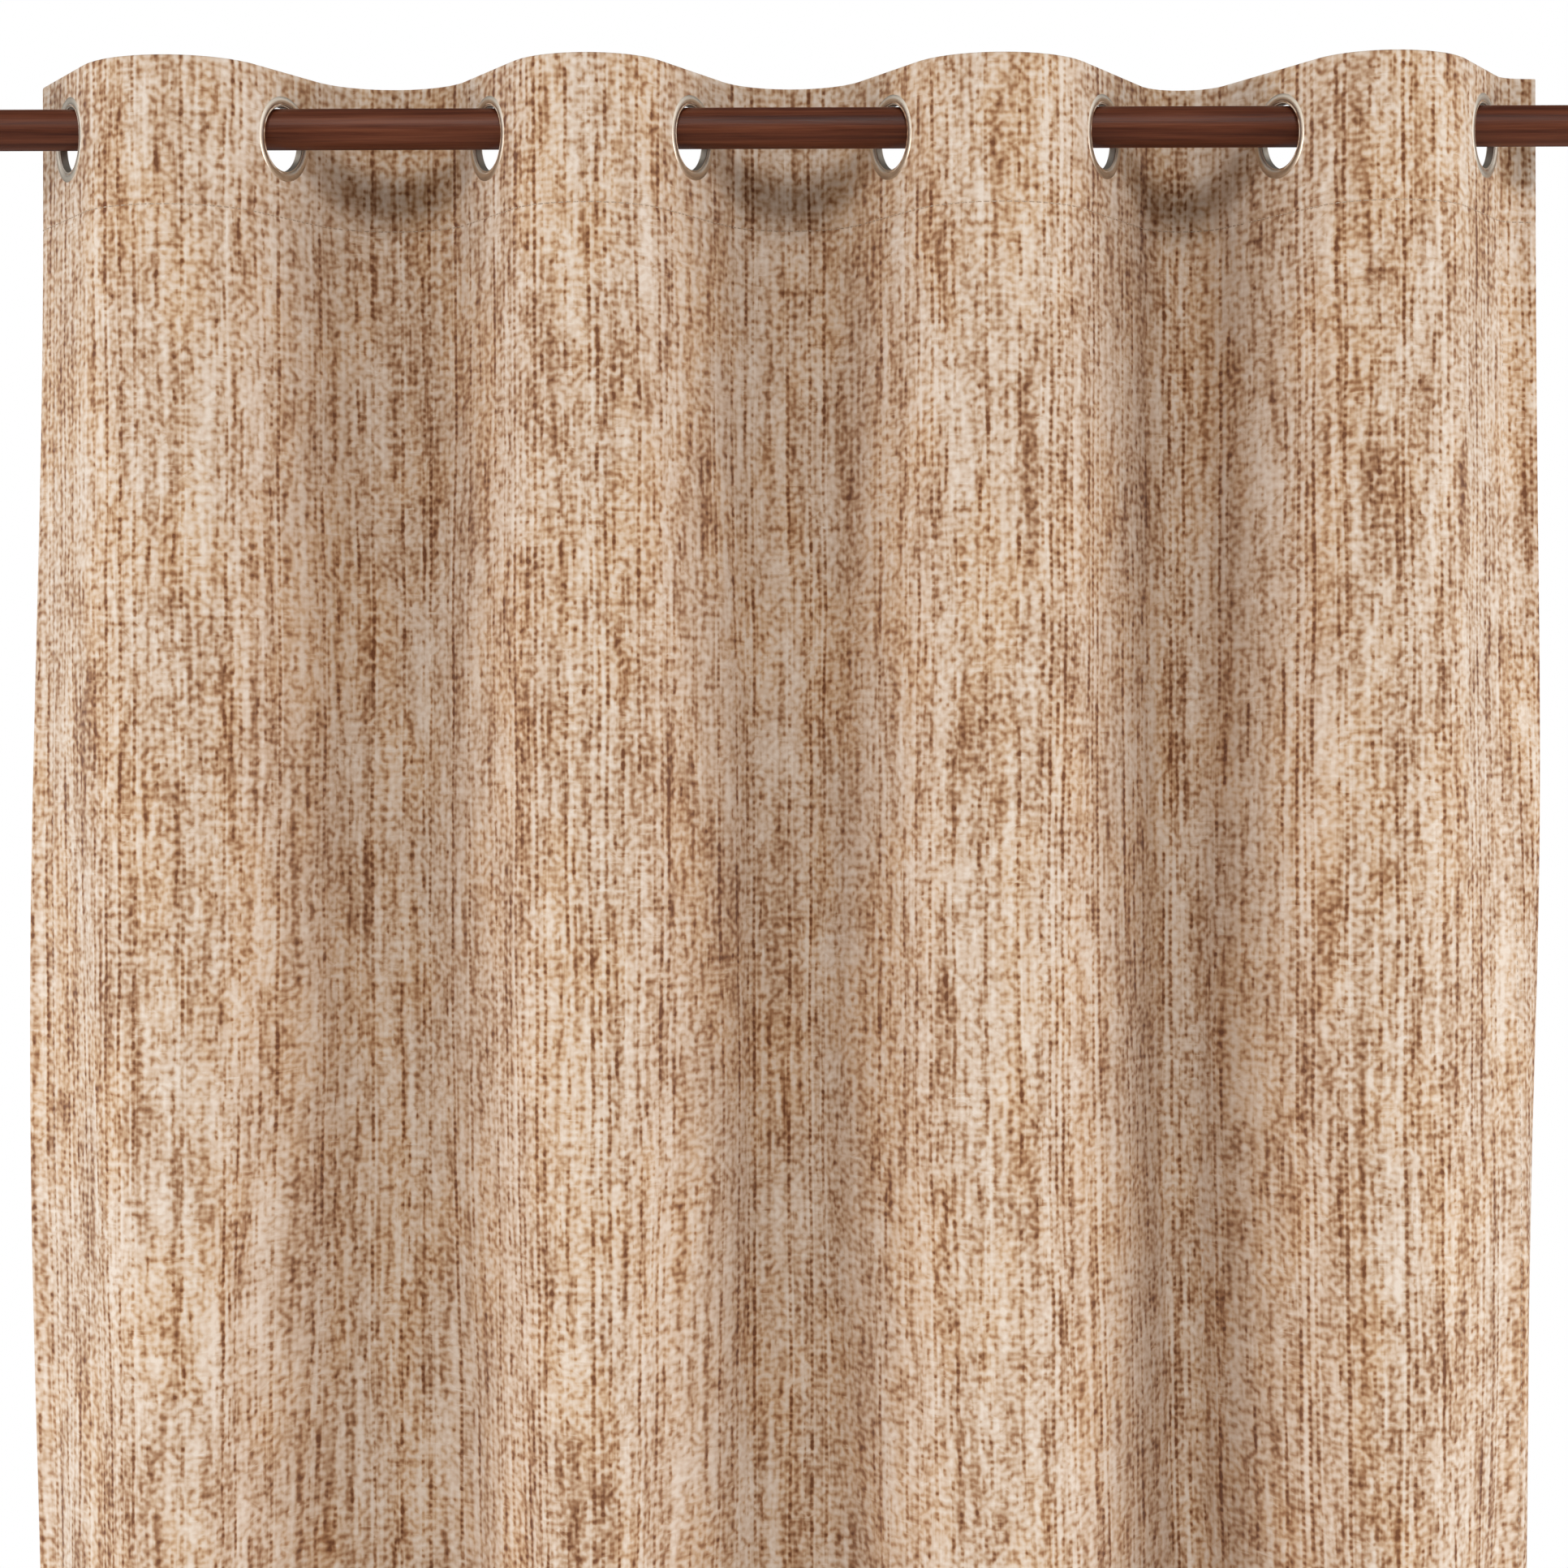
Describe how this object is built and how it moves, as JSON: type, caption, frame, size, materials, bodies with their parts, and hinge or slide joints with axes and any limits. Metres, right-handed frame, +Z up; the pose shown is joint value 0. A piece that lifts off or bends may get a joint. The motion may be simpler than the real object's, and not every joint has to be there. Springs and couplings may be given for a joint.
{
  "type": "eyelet curtain on a wall pole",
  "caption": "Eyelet curtain panel in mottled beige chenille, hanging in soft folds from a stained wooden pole on two wall brackets.",
  "frame": {"origin": "centre of the left bracket's wall face, level with the pole's axis", "axes": "+X along the pole to the right, +Y towards the wall, +Z up"},
  "size_m": [1.336, 0.1731, 2.5],
  "materials": {
    "stained_wood": "satin",
    "curtain_cloth": "matte",
    "eyelet_metal": "satin",
    "zinc_steel": "satin",
    "brass": "satin",
    "stiffener": "matte"
  },
  "bodies": {
    "pole": {"pole": "stained_wood", "finial_left": "stained_wood", "finial_right": "stained_wood", "finial_screw_left": "zinc_steel", "finial_screw_right": "zinc_steel", "wall_plate_left": "zinc_steel", "wall_plate_right": "zinc_steel", "stud_left": "zinc_steel", "stud_right": "zinc_steel", "arm_left": "stained_wood", "arm_right": "stained_wood", "cup_left": "stained_wood", "cup_right": "stained_wood", "lock_screw_left": "brass", "lock_screw_right": "brass"},
    "leaf_1": {"leaf_1": "curtain_cloth", "header_1": "curtain_cloth", "stiffener_1": "stiffener", "eyelet_front_1": "eyelet_metal", "eyelet_back_1": "eyelet_metal"},
    "leaf_2": {"leaf_2": "curtain_cloth", "header_2": "curtain_cloth", "stiffener_2": "stiffener", "eyelet_front_2": "eyelet_metal", "eyelet_back_2": "eyelet_metal"},
    "leaf_3": {"leaf_3": "curtain_cloth", "header_3": "curtain_cloth", "stiffener_3": "stiffener", "eyelet_front_3": "eyelet_metal", "eyelet_back_3": "eyelet_metal"},
    "leaf_4": {"leaf_4": "curtain_cloth", "header_4": "curtain_cloth", "stiffener_4": "stiffener", "eyelet_front_4": "eyelet_metal", "eyelet_back_4": "eyelet_metal"},
    "leaf_5": {"leaf_5": "curtain_cloth", "header_5": "curtain_cloth", "stiffener_5": "stiffener", "eyelet_front_5": "eyelet_metal", "eyelet_back_5": "eyelet_metal"},
    "leaf_6": {"leaf_6": "curtain_cloth", "header_6": "curtain_cloth", "stiffener_6": "stiffener", "eyelet_front_6": "eyelet_metal", "eyelet_back_6": "eyelet_metal"},
    "leaf_7": {"leaf_7": "curtain_cloth", "header_7": "curtain_cloth", "stiffener_7": "stiffener", "eyelet_front_7": "eyelet_metal", "eyelet_back_7": "eyelet_metal"},
    "leaf_8": {"leaf_8": "curtain_cloth", "header_8": "curtain_cloth", "stiffener_8": "stiffener", "eyelet_front_8": "eyelet_metal", "eyelet_back_8": "eyelet_metal"}
  },
  "joints": [
    {"name": "draw", "type": "hinge", "parent": "pole", "child": "leaf_1", "pos_m": [-0.026, -0.11, -0.006], "axis": [0, 0, -1], "range_deg": [-5, 30]},
    {"name": "fold_1", "type": "hinge", "parent": "leaf_1", "child": "leaf_2", "pos_m": [0.0375, -0.16821, -0.006], "axis": [0, 0, 1], "range_deg": [-11, 61]},
    {"name": "fold_2", "type": "hinge", "parent": "leaf_2", "child": "leaf_3", "pos_m": [0.165, -0.05235, -0.006], "axis": [0, 0, -1], "range_deg": [-11, 61]},
    {"name": "fold_3", "type": "hinge", "parent": "leaf_3", "child": "leaf_4", "pos_m": [0.2895, -0.17162, -0.006], "axis": [0, 0, 1], "range_deg": [-11, 61]},
    {"name": "fold_4", "type": "hinge", "parent": "leaf_4", "child": "leaf_5", "pos_m": [0.4125, -0.05065, -0.006], "axis": [0, 0, -1], "range_deg": [-11, 61]},
    {"name": "fold_5", "type": "hinge", "parent": "leaf_5", "child": "leaf_6", "pos_m": [0.538, -0.16878, -0.006], "axis": [0, 0, 1], "range_deg": [-11, 61]},
    {"name": "fold_6", "type": "hinge", "parent": "leaf_6", "child": "leaf_7", "pos_m": [0.6565, -0.04272, -0.006], "axis": [0, 0, -1], "range_deg": [-11, 61]},
    {"name": "fold_7", "type": "hinge", "parent": "leaf_7", "child": "leaf_8", "pos_m": [0.7725, -0.17162, -0.006], "axis": [0, 0, 1], "range_deg": [-11, 61]}
  ],
  "couplings": [
    {"joint": "fold_1", "follows": "draw", "ratio": 2},
    {"joint": "fold_2", "follows": "draw", "ratio": 2},
    {"joint": "fold_3", "follows": "draw", "ratio": 2},
    {"joint": "fold_4", "follows": "draw", "ratio": 2},
    {"joint": "fold_5", "follows": "draw", "ratio": 2},
    {"joint": "fold_6", "follows": "draw", "ratio": 2},
    {"joint": "fold_7", "follows": "draw", "ratio": 2}
  ]
}
